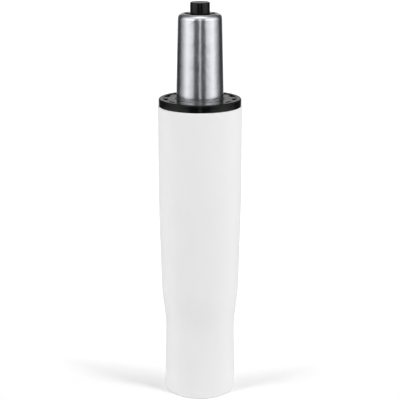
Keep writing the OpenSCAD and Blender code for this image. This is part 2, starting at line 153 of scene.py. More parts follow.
class BushSizes(bpy.types.PropertyGroup):
    """Sizes of the black guide bush, whose flange is the collar."""

    radius: length("Flange radius", "Radius of the collar", radius_of("guide_bush"))
    top: length("Top", "Height of the collar's rim", top_of("guide_bush"))
    foot: length("Foot", "Height of the bush's lower end", foot_of("guide_bush"))
    edge: length("Edge", "Rounding of the collar's upper edge", 0.001)
    lower_edge: length("Lower edge", "Rounding of the collar's lower edge", 0.0003)
    rim_width: length("Rim", "Width of the raised rim", 0.0029)
    rim_rise: length("Rim rise", "Height of the rim above the disc", 0.0004)
    rim_fillet: length("Rim fillet", "Rounding of the rim's inner edge", 0.0002)
    bore_gap: length("Bore gap", "Gap between the bush and the cylinder", 0.00008)
    lead_in: length("Lead-in", "Chamfer at both ends of the bore", 0.0006)
    sleeve_wall: length("Sleeve wall", "Wall of the sleeve round the cylinder", 0.0022)
    skirt_radius: length("Skirt radius", "Radius of the skirt in the column's mouth", 0.02295)
    skirt_height: length("Skirt", "Height of the skirt", 0.014)
    skirt_wall: length("Skirt wall", "Wall of the skirt", 0.002)
    ring_radius: length("Ring radius", "Radius of the ring at the lower end", 0.022925)
    ring_height: length("Ring", "Height of that ring", 0.005)
    rib_count: count("Ribs", "Number of ribs between the sleeve and the column", 8)
    rib_width: length("Rib width", "Thickness of a rib", 0.002)
    rib_inset: length("Rib inset", "How far a rib stays inside the ring's radius", 0.0003)
    pocket_count: count("Pockets", "Number of moulded pockets inside the rim", 13)
    pocket_length: length("Pocket length", "Length of a pocket along the rim", 0.0052)
    pocket_width: length("Pocket width", "Width of a pocket across the rim", 0.0024)
    pocket_inset: length("Pocket inset", "Land between the rim and a pocket", 0.0003)
    pocket_depth: length("Pocket depth", "Depth of a pocket below the disc", 0.0022)
    pocket_corner: length("Pocket corner", "Rounding of a pocket's corners", 0.0005)


class CylinderSizes(bpy.types.PropertyGroup):
    """Sizes of the steel pressure cylinder."""

    radius: length("Radius", "Radius of the cylinder", radius_of("cylinder_tube"))
    top: length("Top", "Height of the rolled top", top_of("cylinder_tube"))
    foot: length("Foot", "Height of the rolled lower end", foot_of("cylinder_tube"))
    wall: length("Wall", "Wall of the tube", 0.0015)
    taper_length: length("Taper", "Length of the seat taper", 0.042)
    taper_drop: length("Taper drop", "Radius that the taper loses over its length", 0.00105)
    taper_blend: length("Taper blend", "Radius of the blend into the taper", 0.25)
    shoulder: length("Shoulder", "Rounding of the rolled shoulder", 0.003)
    mouth: length("Mouth", "Radius of the mouth in the top", 0.0092)
    mouth_round: length("Mouth rounding", "Rounding of the mouth's upper edge", 0.0005)
    burr: length("Inner edge", "Rounding of the inner edges", 0.0003)
    end_round: length("End rounding", "Rounding of the rolled lower end", 0.0025)
    end_mouth: length("End mouth", "Radius of the opening in the lower end", 0.008)


class ButtonSizes(bpy.types.PropertyGroup):
    """Sizes of the release button and the cap round it."""

    radius: length("Radius", "Radius of the button", radius_of("release_button"))
    top: length("Top", "Height of the button's face", top_of("release_button"))
    foot: length("Foot", "Height of the button's lower end", foot_of("release_button"))
    edge: length("Edge", "Rounding of the button's upper edge", 0.0007)
    socket: length("Socket", "Radius of the socket for the valve pin", 0.00305)
    socket_top: length("Socket top", "Height of that socket's end", top_of("valve_pin"))
    cap_face: length("Cap face", "Height of the cap's face", top_of("valve_cap"))
    cap_foot: length("Cap foot", "Height of the cap's nose", foot_of("valve_cap"))
    cap_radius: length("Cap radius", "Radius of the cap under the rolled top", radius_of("valve_cap"))
    cap_gap: length("Cap gap", "Gap between the cap and the cylinder's mouth", 0.00005)
    cap_floor: length("Cap floor", "Thickness of the cap's floor", 0.0022)
    nose_height: length("Nose", "Height of the cap's nose", 0.005)
    nose_radius: length("Nose radius", "Radius of the cap's nose", 0.00548)
    pin_bore: length("Pin bore", "Radius of the cap's bore for the valve pin", 0.00308)
    bore_gap: length("Bore gap", "Gap between the button and the cap", 0.00008)
    cap_edge: length("Cap edge", "Rounding of the cap's edges", 0.0002)


class FinishColours(bpy.types.PropertyGroup):
    """Colours of the finishes."""

    paint: colour("Paint", "White powder coat of the column", (0.83, 0.83, 0.835))
    black_plastic: colour("Black plastic", "Moulded collar, cap and button", (0.0026, 0.0026, 0.0029))
    # Grey of the painted sheen on the button's face, which makes its top lighter as reflected light would
    face_sheen: colour("Scuff", "Grey of the button's scuffed face", (0.14, 0.14, 0.145))
    steel: colour("Steel", "Ground steel of the pressure cylinder", (0.79, 0.80, 0.845))
    zinc: colour("Zinc", "Zinc-plated pressed steel", (0.66, 0.67, 0.66))
    bearing: colour("Bearing steel", "Hardened steel of the races and balls", (0.62, 0.62, 0.63))
    chrome: colour("Chrome", "Hard chrome of the rod and the valve pin", (0.74, 0.75, 0.77))
    spring: colour("Spring steel", "Oiled spring steel of the clip", (0.12, 0.12, 0.125))
    brass: colour("Brass", "Turned brass of the cage and the spacer", (0.72, 0.50, 0.20))
    alloy: colour("Alloy", "Die-cast alloy of the valve and the piston", (0.62, 0.63, 0.65))
    rubber: colour("Rubber", "Black rubber of the seals and the bumper", (0.018, 0.018, 0.019))
    natural_plastic: colour("Natural plastic", "Uncoloured guide rings", (0.78, 0.74, 0.63))


class StageSettings(bpy.types.PropertyGroup):
    """Camera, lamps, floor and tent of the studio."""

    camera_distance: length("Camera distance", "Camera's distance from the axis", 0.643)
    camera_height: length("Camera height", "Camera's height above the floor", 0.305)
    camera_pitch: angle("Camera pitch", "How far the camera looks down", 15.9)
    camera_lens: amount("Lens", "Focal length in millimetres", 99)
    floor_size: length("Floor", "Width of the floor", 12)
    floor_colour: colour("Floor colour", "White of the floor", (0.9, 0.9, 0.9))
    # The shadows fade over these distances because the floor's painted glow rises there
    shadow_start: length("Shadow start", "Distance behind the axis where the shadows start to fade", -0.008)
    shadow_end: length("Shadow end", "Distance behind the axis where no shadow is left", 0.033)
    shadow_slant: share("Shadow slant", "How far those distances grow towards either side", 0.22)
    floor_lift: share("Floor lift", "White that the floor adds to its own light under the object", 0.065)
    back_lift: share("Back lift", "White that it adds where no shadow is left", 0.37)
    far_start: length("Far start", "Distance from the axis where the floor's own light starts to fade", 0.3)
    far_end: length("Far end", "Distance from the axis where no more of it is lost", 3)
    far_lift: share("Far lift", "White that the floor adds from there on", 0.6)
    front_fill: amount("Front fill", "Strength of the soft light from the front, the back and above", 0.09)
    side_fill: amount("Side fill", "Strength of the soft light from the left and the right", 1.3)
    left_power: amount("Left lamp", "Power of the left softbox in watts", 41)
    right_power: amount("Right lamp", "Power of the right softbox in watts", 55)
    lamp_turn: angle("Lamp turn", "Angle between the camera and a softbox", 57.5)
    lamp_distance: length("Lamp distance", "Softbox's distance from the axis", 2.4)
    lamp_height: length("Lamp height", "Softbox's height above the floor", 3.45)
    lamp_size: length("Lamp size", "Width of a softbox", 0.6)
    tent_radius: length("Tent radius", "Radius of the domed tent that reflections see", 4)
    tent_hole: length("Tent hole", "Radius within which reflections see the floor", 0.03)
    tent_inner: length("Tent inner", "Radius up to which the tent's floor is as the foot of its wall", 0.9)
    tent_near: length("Tent near", "Radius at which the softboxes are narrowest on the tent's floor", 1.25)
    tent_far: length("Tent far", "Radius from which that floor is again as the foot of its wall", 2.9)
    tent_lift: length("Tent lift", "Height of the tent's floor above the studio's floor", 0.002)
    tent_middle: length("Tent middle", "Height of the dome's centre", 0.21)
    window_turn: angle("Window", "Angle from the camera at which the window behind the object starts", 162)
    window_sill: angle("Window sill", "Elevation of that window's lower edge", 8.1)
    window_head: angle("Window head", "Elevation of its upper edge", 20)
    window_level: amount("Window level", "Brightness of that window", 0.66)
    window_gap: length("Window gap", "How far the window stands inside the dome", 0.15)


class GasLiftSettings(bpy.types.PropertyGroup):
    """All settings of the gas lift."""

    column: bpy.props.PointerProperty(type=ColumnSizes)
    bush: bpy.props.PointerProperty(type=BushSizes)
    cylinder: bpy.props.PointerProperty(type=CylinderSizes)
    button: bpy.props.PointerProperty(type=ButtonSizes)
    colours: bpy.props.PointerProperty(type=FinishColours)
    stage: bpy.props.PointerProperty(type=StageSettings)


# Node trees

class Nodes:
    """Node tree being put together."""

    def __init__(self, tree):
        self.tree = tree

    def put(self, value, socket):
        """Links a node's output to a socket, or sets the socket to a plain value."""
        if isinstance(value, bpy.types.NodeSocket):
            self.tree.links.new(value, socket)
        else:
            socket.default_value = value

    def add(self, kind, settings=None, **inputs):
        """New node with its settings, and with each named input linked to a socket or set to a value."""
        node = self.tree.nodes.new(kind)
        for name, value in (settings or {}).items():
            setattr(node, name, value)
        for name, value in inputs.items():
            self.put(value, node.inputs[name.replace("_", " ")])
        return node

    def out(self, kind, settings=None, **inputs):
        """First output of such a new node."""
        return self.add(kind, settings, **inputs).outputs[0]


class ShaderNodes(Nodes):
    """Shader node tree being put together."""

    def coordinates(self, kind):
        """Coordinates of the point that is shaded."""
        return self.add("ShaderNodeTexCoord").outputs[kind]

    def axes(self, vector):
        """The X, Y and Z of a vector."""
        return self.add("ShaderNodeSeparateXYZ", Vector=vector).outputs

    def math(self, operation, *values):
        """Result of an operation on sockets or plain values."""
        node = self.add("ShaderNodeMath", {"operation": operation})
        for value, socket in zip(values, node.inputs):
            self.put(value, socket)
        return node.outputs["Value"]

    def ramp(self, value, start, end, low=0, high=1):
        """Value that runs from low at start to high at end, and is level outside them."""
        return self.out(
            "ShaderNodeMapRange", Value=value, From_Min=start, From_Max=end, To_Min=low, To_Max=high,
        )

    def end(self, shader, output="Material Output"):
        """Ends the tree with a shader."""
        self.put(shader, self.tree.nodes[output].inputs["Surface"])


# Node materials

# Name of a slot's material
FINISH_NAME = "{}_finish"
# Places of the colour sockets among the Mix node's inputs and outputs
MIX_COLOUR = {"A": 6, "B": 7, "Result": 2}
# Range in which most values of a noise lie
NOISE_RANGE = (0.3, 0.7)
# Share of the shoulder over which the ground steel turns smooth
ROLLED_FADE = 1 / 8
# Shares of the button's rounded edge that the painted sheen on its face reaches down, and over which it
# fades
SHEEN_REACH = 1 / 3
SHEEN_FADE = 1 / 4


class Finish(ShaderNodes):
    """Node material being put together, whose patterns read Object coordinates."""

    def __init__(self, name, base, metallic):
        self.material = bpy.data.materials.new(FINISH_NAME.format(name))
        self.material.use_nodes = True
        super().__init__(self.material.node_tree)
        self.shader = self.tree.nodes["Principled BSDF"]
        self.base = tuple(base)
        self.place = self.coordinates("Object")
        self.set(Metallic=metallic)

    def set(self, **inputs):
        """Links a pattern to each named socket of the shader, or sets it to a value for all of it."""
        for name, value in inputs.items():
            self.put(value, self.shader.inputs[name.replace("_", " ")])

    def noise(self, grain, detail=2.0, stretch=(1, 1, 1)):
        """Noise whose grains are about that long in metres, drawn out along the axes by stretch."""
        stretched = self.out("ShaderNodeMapping", Vector=self.place, Scale=[1 / s for s in stretch])
        return self.out("ShaderNodeTexNoise", Vector=stretched, Scale=1 / grain, Detail=detail)

    def blend(self, first, second, factor=0.5):
        """Mix of two grey patterns or values."""
        return self.out("ShaderNodeMix", Factor=factor, A=first, B=second)

    def blend_colours(self, first, second, factor):
        """Mix of two colours."""
        node = self.add("ShaderNodeMix", {"data_type": "RGBA"}, Factor=factor)
        self.put(first, node.inputs[MIX_COLOUR["A"]])
        self.put(second, node.inputs[MIX_COLOUR["B"]])
        return node.outputs[MIX_COLOUR["Result"]]

    def above(self, height, blend):
        """Factor that goes from 0 to 1 over a short blend above a height."""
        return self.ramp(self.axes(self.place)["Z"], height, height + blend)

    def spread(self, pattern, low, high):
        """A grey pattern's middle range, made to run from low to high."""
        return self.ramp(pattern, *NOISE_RANGE, low, high)

    def tint(self, pattern, low, high):
        """The base colour, made darker or lighter by a pattern."""
        dark, light = ([min(1, c * level) for c in self.base] + [1] for level in (low, high))
        self.set(Base_Color=self.blend_colours(dark, light, self.spread(pattern, 0, 1)))

    def cover(self, colour, factor):
        """Lays another colour over the base colour, as far as a factor says."""
        under = self.shader.inputs["Base Color"].links[0].from_socket
        self.set(Base_Color=self.blend_colours(under, (*colour, 1), factor))

    def roughness(self, pattern, low, high):
        """Roughness that runs from low to high with a pattern."""
        self.set(Roughness=self.spread(pattern, low, high))

    def relief(self, pattern, depth):
        """Relief of that depth in metres, laid over any that the finish has."""
        bump = self.add("ShaderNodeBump", Height=pattern, Distance=depth)
        for link in self.shader.inputs["Normal"].links:
            self.put(link.from_socket, bump.inputs["Normal"])
        self.set(Normal=bump.outputs["Normal"])


# Function, name of the base colour and Metallic of each slot's finish
FINISHES = {}


def finish_of(base, metallic=0.0):
    """Keeps the function that follows as the finish of the slot with its name."""
    def keep(make):
        FINISHES[make.__name__] = (make, base, metallic)
        return make
    return keep


@finish_of("paint")
def column_paint(finish):
    """White powder coat: even colour, low gloss and a faint orange peel."""
    finish.tint(finish.noise(0.02), 0.985, 1.0)
    finish.roughness(finish.noise(0.006), 0.46, 0.54)
    finish.relief(finish.noise(0.0016, detail=1), 0.000012)
    finish.set(Specular_IOR_Level=0.2)


@finish_of("black_plastic")
def bush_plastic(finish):
    """Black moulded plastic of the collar, satin with a fine mould grain."""
    finish.tint(finish.noise(0.004), 0.8, 1.25)
    finish.roughness(finish.noise(0.0025, detail=4), 0.10, 0.17)
    finish.relief(finish.noise(0.0005, detail=1), 0.000002)
    finish.set(Specular_IOR_Level=0.24)


@finish_of("steel", metallic=1.0)
def cylinder_steel(finish):
    """Ground steel, slightly wavy, with fine streaks that smear its reflections and a smoother top."""
    sizes = bpy.context.scene.gas_lift.cylinder
    streaks = finish.noise(0.0004, detail=3, stretch=(60, 60, 1))
    bands = finish.noise(0.0022, detail=2, stretch=(12, 12, 1))
    mottle = finish.noise(0.0035, detail=4)
    grinding = finish.blend(streaks, bands)
    finish.tint(finish.blend(grinding, mottle, 0.6), 0.95, 1.02)
    finish.relief(finish.noise(0.006), 0.00012)
    finish.relief(streaks, 0.0000005)
    rolled = finish.above(sizes.top - sizes.shoulder, sizes.shoulder * ROLLED_FADE)
    finish.set(
        Roughness=finish.blend(finish.spread(grinding, 0.19, 0.225), 0.15, rolled),
        Anisotropic=0.2,
        Anisotropic_Rotation=0.25,
        Tangent=finish.out("ShaderNodeTangent", {"direction_type": "UV_MAP"}),
    )


@finish_of("black_plastic")
def cap_plastic(finish):
    """Black moulded plastic of the cap, matte."""
    finish.tint(finish.noise(0.003), 0.9, 1.4)
    finish.roughness(finish.noise(0.002), 0.5, 0.62)
    finish.relief(finish.noise(0.0004, detail=1), 0.000008)
    finish.set(Specular_IOR_Level=0.15)


@finish_of("black_plastic")
def button_plastic(finish):
    """Black moulded plastic of the button, satin, with a painted sheen of grey on its face, broken up by
    noise.
    """
    sizes = bpy.context.scene.gas_lift.button
    finish.tint(finish.noise(0.003), 0.35, 0.6)
    # Painted sheen: grey laid over the button's face, broken up by noise, so that the top reads lighter
    face = finish.above(sizes.top - sizes.edge * SHEEN_REACH, sizes.edge * SHEEN_FADE)
    sheen_marks = finish.spread(finish.noise(0.0015, detail=4), 0.5, 1)
    finish.cover(bpy.context.scene.gas_lift.colours.face_sheen, finish.blend(0.0, sheen_marks, face))
    finish.roughness(finish.noise(0.002, detail=4), 0.15, 0.22)
    finish.relief(finish.noise(0.0004, detail=1), 0.000001)
    finish.set(Specular_IOR_Level=0.32)


@finish_of("zinc", metallic=1.0)
def plate_steel(finish):
    """Zinc-plated pressed steel with a soft spangle."""
    finish.tint(finish.noise(0.003, detail=4), 0.85, 1.05)
    finish.roughness(finish.noise(0.002, detail=3), 0.28, 0.45)
    finish.relief(finish.noise(0.0006), 0.000006)


@finish_of("bearing", metallic=1.0)
def bearing_steel(finish):
    """Hardened and ground steel of the races."""
    finish.tint(finish.noise(0.002, detail=3), 0.9, 1.05)
    finish.roughness(finish.noise(0.0008, detail=3), 0.18, 0.3)
    finish.relief(finish.noise(0.0003), 0.000002)


@finish_of("bearing", metallic=1.0)
def ball_steel(finish):
    """Polished steel of the balls."""
    finish.tint(finish.noise(0.002), 1.0, 1.15)
    finish.roughness(finish.noise(0.001, detail=3), 0.06, 0.12)
    finish.relief(finish.noise(0.0004), 0.0000005)


@finish_of("brass", metallic=1.0)
def cage_brass(finish):
    """Turned brass with fine tool marks and a light tarnish."""
    finish.tint(finish.noise(0.002, detail=4), 0.8, 1.05)
    finish.roughness(finish.noise(0.001, detail=3), 0.22, 0.4)
    finish.relief(finish.noise(0.0003, stretch=(8, 8, 1)), 0.000004)


@finish_of("chrome", metallic=1.0)
def rod_steel(finish):
    """Hard chrome, polished, with faint lines round it."""
    finish.tint(finish.noise(0.004), 0.95, 1.03)
    finish.roughness(finish.noise(0.0004, detail=3, stretch=(40, 40, 1)), 0.08, 0.16)
    finish.relief(finish.noise(0.0004, stretch=(40, 40, 1)), 0.000001)


@finish_of("spring", metallic=1.0)
def spring_steel(finish):
    """Dark oiled spring steel."""
    finish.tint(finish.noise(0.0015, detail=4), 0.7, 1.3)
    finish.roughness(finish.noise(0.001, detail=3), 0.3, 0.48)
    finish.relief(finish.noise(0.0004), 0.000004)


@finish_of("rubber")
def black_rubber(finish):
    """Black rubber with a dull moulded skin."""
    finish.tint(finish.noise(0.002, detail=3), 0.8, 1.3)
    finish.roughness(finish.noise(0.0012), 0.55, 0.72)
    finish.relief(finish.noise(0.0003), 0.00001)


@finish_of("bearing", metallic=1.0)
def liner_steel(finish):
    """Drawn steel tube with lines along it."""
    lines = finish.noise(0.0004, detail=3, stretch=(1, 1, 80))
    finish.tint(lines, 0.9, 1.05)
    finish.roughness(lines, 0.2, 0.34)
    finish.relief(lines, 0.000003)


@finish_of("natural_plastic")
def guide_plastic(finish):
    """Uncoloured moulded plastic, slightly waxy."""
    finish.tint(finish.noise(0.004, detail=3), 0.94, 1.03)
    finish.roughness(finish.noise(0.002), 0.38, 0.5)
    finish.relief(finish.noise(0.0005), 0.000006)
    finish.set(Subsurface_Weight=0.15, Subsurface_Scale=0.002)


@finish_of("alloy", metallic=1.0)
def valve_alloy(finish):
    """Die-cast alloy with a grainy skin."""
    finish.tint(finish.noise(0.0015, detail=4), 0.85, 1.05)
    finish.roughness(finish.noise(0.001, detail=3), 0.34, 0.5)
    finish.relief(finish.noise(0.0003, detail=3), 0.000012)


def finish_for(node):
    """Material of a CAD node's slot, made on first use."""
    slot = slot_of[node]
    made = bpy.data.materials.get(FINISH_NAME.format(slot))
    if made:
        return made
    make, base, metallic = FINISHES[slot]
    finish = Finish(slot, getattr(bpy.context.scene.gas_lift.colours, base), metallic)
    make(finish)
    return finish.material


def dress(piece, node):
    """Gives a piece the finish of a CAD node."""
    piece.data.materials.clear()
    piece.data.materials.append(finish_for(node))


# Meshes

def add_object(name, data):
    """New object, linked to the scene."""
    item = bpy.data.objects.new(name, data)
    bpy.context.scene.collection.objects.link(item)
    return item


def add_mesh(name, build):
    """New mesh object of what was built."""
    mesh = bpy.data.meshes.new(name)
    build.to_mesh(mesh)
    build.free()
    return add_object(name, mesh)


def rounded_outline(corners):
    """Closed outline of points, in which each (radius, height, rounding) corner becomes an arc."""
    outline = []
    for index, (radius, height, rounding) in enumerate(corners):
        corner = Vector((radius, height))
        if not rounding:
            outline.append(corner)
            continue
        back = (Vector(corners[index - 1][:2]) - corner).normalized()
        ahead = (Vector(corners[(index + 1) % len(corners)][:2]) - corner).normalized()
        half = back.angle(ahead) / 2
        centre = corner + (back + ahead).normalized() * rounding / math.sin(half)
        first = corner + back * rounding / math.tan(half) - centre
        last = corner + ahead * rounding / math.tan(half) - centre
        start = math.atan2(first.y, first.x)
        turn = math.atan2(first.x * last.y - first.y * last.x, first.dot(last))
        steps = max(LEAST_STEPS, math.ceil(abs(turn) / ARC_STEP))
        for step in range(steps + 1):
            way = start + turn * step / steps
            outline.append(centre + Vector((math.cos(way), math.sin(way))) * rounding)
    return outline


def ring_of_points(build, radius, height):
    """Vertices of one ring of a turned mesh, or its single vertex on the axis."""
    if radius < ON_AXIS:
        return [build.verts.new((0, 0, height))]
    turns = (2 * math.pi * step / FACETS for step in range(FACETS))
    return [build.verts.new((radius * math.cos(t), radius * math.sin(t), height)) for t in turns]


def turned(name, corners):
    """Object of a closed outline turned about the axis, with UVs round the axis and along the outline."""
    outline = rounded_outline(corners)
    build = bmesh.new()
    uv_map = build.loops.layers.uv.new("Turned")
    rings = [ring_of_points(build, point.x, point.y) for point in outline]
    lengths = [(after - point).length for point, after in zip(outline, outline[1:] + outline[:1])]
    whole = sum(lengths)
    travelled = 0.0
    for index, lower in enumerate(rings):
        upper = rings[(index + 1) % len(rings)]
        low_v = travelled / whole
        travelled += lengths[index]
        high_v = travelled / whole
        if len(lower) == len(upper) == 1:
            continue
        for step in range(FACETS):
            here, there = step / FACETS, (step + 1) / FACETS
            around = [
                (lower, step, here, low_v), (lower, step + 1, there, low_v),
                (upper, step + 1, there, high_v), (upper, step, here, high_v),
            ]
            if len(lower) == 1:
                around.pop(1)
            elif len(upper) == 1:
                around.pop(2)
            face = build.faces.new([ring[place % len(ring)] for ring, place, _, _ in around])
            face.smooth = True
            for loop, (_, _, u, v) in zip(face.loops, around):
                loop[uv_map].uv = (u, v)
    bmesh.ops.recalc_face_normals(build, faces=build.faces)
    piece = add_mesh(name, build)
    piece.data.set_sharp_from_angle(angle=CRISP_ANGLE)
    return piece


def stand_for(piece, node):
    """Gives a piece its node's finish and slot, and sets it on the node's body in the node's stead."""
    dress(piece, node)
    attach(piece, body_of[node])
    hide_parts(node)


# Geometry node trees for what repeats round the axis

class Pattern(Nodes):
    """Geometry node tree being put together, with named inputs for its sizes."""

    def __init__(self, name, **sizes):
        super().__init__(bpy.data.node_groups.new(name, "GeometryNodeTree"))
        self.identifiers = {}
        self.sizes = sizes
        self.new_input("Base", "NodeSocketGeometry")
        for label, value in sizes.items():
            self.new_input(label, "NodeSocketInt" if isinstance(value, int) else "NodeSocketFloat")
        self.new_input("Finish", "NodeSocketMaterial")
        self.tree.interface.new_socket("Result", in_out="OUTPUT", socket_type="NodeSocketGeometry")
        self.inputs = self.tree.nodes.new("NodeGroupInput").outputs

    def new_input(self, label, kind):
        """New named input of the tree, whose identifier is kept."""
        socket = self.tree.interface.new_socket(label, in_out="INPUT", socket_type=kind)
        self.identifiers[label] = socket.identifier

    def around(self, shape, copies, radius, turn, height):
        """Copies of a shape on a circle about the axis, each facing outwards."""
        circle = self.out("GeometryNodeMeshCircle", Vertices=copies, Radius=radius)
        placed = self.out(
            "GeometryNodeTransform", Geometry=circle, Rotation=self.out("ShaderNodeCombineXYZ", Z=turn),
            Translation=self.out("ShaderNodeCombineXYZ", Z=height),
        )
        facing = self.out(
            "FunctionNodeAlignRotationToVector", {"axis": "X", "pivot_axis": "Z"},
            Vector=self.out("GeometryNodeInputPosition"),
        )
        copied = self.out("GeometryNodeInstanceOnPoints", Points=placed, Instance=shape, Rotation=facing)
        return self.out("GeometryNodeRealizeInstances", Geometry=copied)

    def combine(self, operation, first, second):
        """Exact union or difference of two closed shapes."""
        node = self.add("GeometryNodeMeshBoolean", {"operation": operation, "solver": "EXACT"})
        self.put(first, node.inputs["Mesh 1" if operation == "DIFFERENCE" else "Mesh 2"])
        self.put(second, node.inputs["Mesh 2"])
        return node.outputs["Mesh"]

    def end(self, shape):
        """Ends the tree with a plain mesh in its finish."""
        plain = self.out("GeometryNodeRealizeInstances", Geometry=shape)
        dressed = self.out("GeometryNodeSetMaterial", Geometry=plain, Material=self.inputs["Finish"])
        self.add("NodeGroupOutput", Result=dressed)

    def apply(self, piece, node):
        """Runs the tree on a piece and leaves a plain mesh in its place."""
        modifier = piece.modifiers.new(self.tree.name, "NODES")
        modifier.node_group = self.tree
        for label, value in self.sizes.items():
            modifier[self.identifiers[label]] = value
        modifier[self.identifiers["Finish"]] = finish_for(node)
        bpy.context.view_layer.update()
        evaluated = piece.evaluated_get(bpy.context.evaluated_depsgraph_get())
        old = piece.data
        plain = bpy.data.meshes.new_from_object(evaluated)
        piece.modifiers.remove(modifier)
        piece.data = plain
        bpy.data.meshes.remove(old)
        plain.name = piece.name
        plain.shade_smooth()
        plain.set_sharp_from_angle(angle=CRISP_ANGLE)


def bush_pattern(sizes):
    """Tree that adds the ribs to the turned bush and cuts the pockets out of its collar."""
    disc = sizes.top - sizes.rim_rise
    rib_in = radius_of("cylinder_tube") + sizes.bore_gap + sizes.sleeve_wall / 2
    rib_out = sizes.ring_radius - sizes.rib_inset
    rib_low = sizes.foot + sizes.ring_height / 2
    rib_high = (top_of("column_tube") + disc - sizes.pocket_depth) / 2
    nodes = Pattern(
        "bush_pattern",
        Ribs=sizes.rib_count,
        Pockets=sizes.pocket_count,
        Pocket_ring=sizes.radius - sizes.rim_width - sizes.pocket_inset - sizes.pocket_width / 2,
        Pocket_corner=sizes.pocket_corner,
        Pocket_floor=disc - sizes.pocket_depth,
        First_pocket=-math.pi / 2,
    )
    rib = nodes.out("GeometryNodeMeshCube", Size=(rib_out - rib_in, sizes.rib_width, rib_high - rib_low))
    ribs = nodes.around(rib, nodes.inputs["Ribs"], (rib_in + rib_out) / 2, 0.0, (rib_low + rib_high) / 2)
    opening = nodes.out(
        "GeometryNodeCurvePrimitiveQuadrilateral", Width=sizes.pocket_width, Height=sizes.pocket_length,
    )
    rounded = nodes.out(
        "GeometryNodeFilletCurve", {"mode": "POLY"}, Curve=opening, Count=LEAST_STEPS,
        Radius=nodes.inputs["Pocket_corner"],
    )
    depth = nodes.out("GeometryNodeCurvePrimitiveLine", End=(0, 0, sizes.pocket_depth + CUT_OVER))
    pocket = nodes.out("GeometryNodeCurveToMesh", Curve=depth, Profile_Curve=rounded, Fill_Caps=True)
    pockets = nodes.around(
        pocket, nodes.inputs["Pockets"], nodes.inputs["Pocket_ring"], nodes.inputs["First_pocket"],
        nodes.inputs["Pocket_floor"],
    )
    ribbed = nodes.combine("UNION", nodes.inputs["Base"], ribs)
    nodes.end(nodes.combine("DIFFERENCE", ribbed, pockets))
    return nodes


# Operators, one for each piece or group of pieces

class GASLIFT_OT_column(bpy.types.Operator):
    """Turn the white column with its cone, swaged shoulder, spigot and rolled foot."""

    bl_idname = "gas_lift.column"
    bl_label = "White column"

    def execute(self, context):
        sizes = context.scene.gas_lift.column
        cone_low = sizes.spigot_length + sizes.shoulder_length
        bends = [
            (sizes.spigot_radius, sizes.spigot_length, sizes.bend),
            (sizes.radius - sizes.cone_drop, cone_low, sizes.bend),
            (sizes.radius, cone_low + sizes.cone_length, sizes.cone_blend),
        ]
        corners = [
            (sizes.foot_radius, 0, sizes.edge),
            *bends,
            (sizes.radius, sizes.height, sizes.edge),
            (sizes.radius - sizes.wall, sizes.height, sizes.burr),
            *[(radius - sizes.wall, height, bend) for radius, height, bend in reversed(bends)],
            (sizes.foot_radius - sizes.wall, sizes.wall, sizes.burr),
            (sizes.foot_mouth, sizes.wall, sizes.burr),
            (sizes.foot_mouth, 0, sizes.burr),
        ]
        stand_for(turned("painted_column", corners), "column_tube")
        return {"FINISHED"}


class GASLIFT_OT_bush(bpy.types.Operator):
    """Mould the black guide bush: collar with rim and pockets, sleeve, skirt, lower ring and ribs."""

    bl_idname = "gas_lift.bush"
    bl_label = "Guide bush"

    def execute(self, context):
        sizes = context.scene.gas_lift.bush
        mouth = context.scene.gas_lift.column.height
        bore = radius_of("cylinder_tube") + sizes.bore_gap
        sleeve = bore + sizes.sleeve_wall
        skirt_in = sizes.skirt_radius - sizes.skirt_wall
        rim = sizes.radius - sizes.rim_width
        disc = sizes.top - sizes.rim_rise
        corners = [
            (bore + sizes.lead_in, sizes.foot, 0),
            (sizes.ring_radius, sizes.foot, sizes.lower_edge),
            (sizes.ring_radius, sizes.foot + sizes.ring_height, sizes.lower_edge),
            (sleeve, sizes.foot + sizes.ring_height, 0),
            (sleeve, mouth, 0),
            (skirt_in, mouth, 0),
            (skirt_in, mouth - sizes.skirt_height, 0),
            (sizes.skirt_radius, mouth - sizes.skirt_height, sizes.lower_edge),
            (sizes.skirt_radius, mouth, 0),
            (sizes.radius, mouth, sizes.lower_edge),
            (sizes.radius, sizes.top, sizes.edge),
            (rim, sizes.top, sizes.rim_fillet),
            (rim, disc, sizes.rim_fillet),
            (bore + sizes.lead_in, disc, 0),
            (bore, disc - sizes.lead_in, 0),
            (bore, sizes.foot + sizes.lead_in, 0),
        ]
        piece = turned("collar_bush", corners)
        bush_pattern(sizes).apply(piece, "guide_bush")
        stand_for(piece, "guide_bush")
        return {"FINISHED"}


class GASLIFT_OT_cylinder(bpy.types.Operator):
    """Turn the ground steel cylinder with its seat taper and rolled ends."""

    bl_idname = "gas_lift.cylinder"
    bl_label = "Pressure cylinder"

    def execute(self, context):
        sizes = context.scene.gas_lift.cylinder
        taper_high = sizes.top - sizes.shoulder
        taper_low = taper_high - sizes.taper_length
        lip = sizes.top - sizes.wall
        floor = sizes.foot + sizes.wall
        narrow = sizes.radius - sizes.taper_drop
        corners = [
            (sizes.end_mouth, sizes.foot, sizes.burr),
            (sizes.radius, sizes.foot, sizes.end_round),
            (sizes.radius, taper_low, sizes.taper_blend),
            (narrow, taper_high, 0),
            (narrow, sizes.top, sizes.shoulder),
            (sizes.mouth, sizes.top, sizes.mouth_round),
            (sizes.mouth, lip, sizes.burr),
            (narrow - sizes.wall, lip, sizes.shoulder - sizes.wall),
            (narrow - sizes.wall, taper_high, 0),
            (sizes.radius - sizes.wall, taper_low, sizes.taper_blend),
            (sizes.radius - sizes.wall, floor, sizes.end_round - sizes.wall),
            (sizes.end_mouth, floor, sizes.burr),
        ]
        stand_for(turned("steel_cylinder", corners), "cylinder_tube")
        return {"FINISHED"}


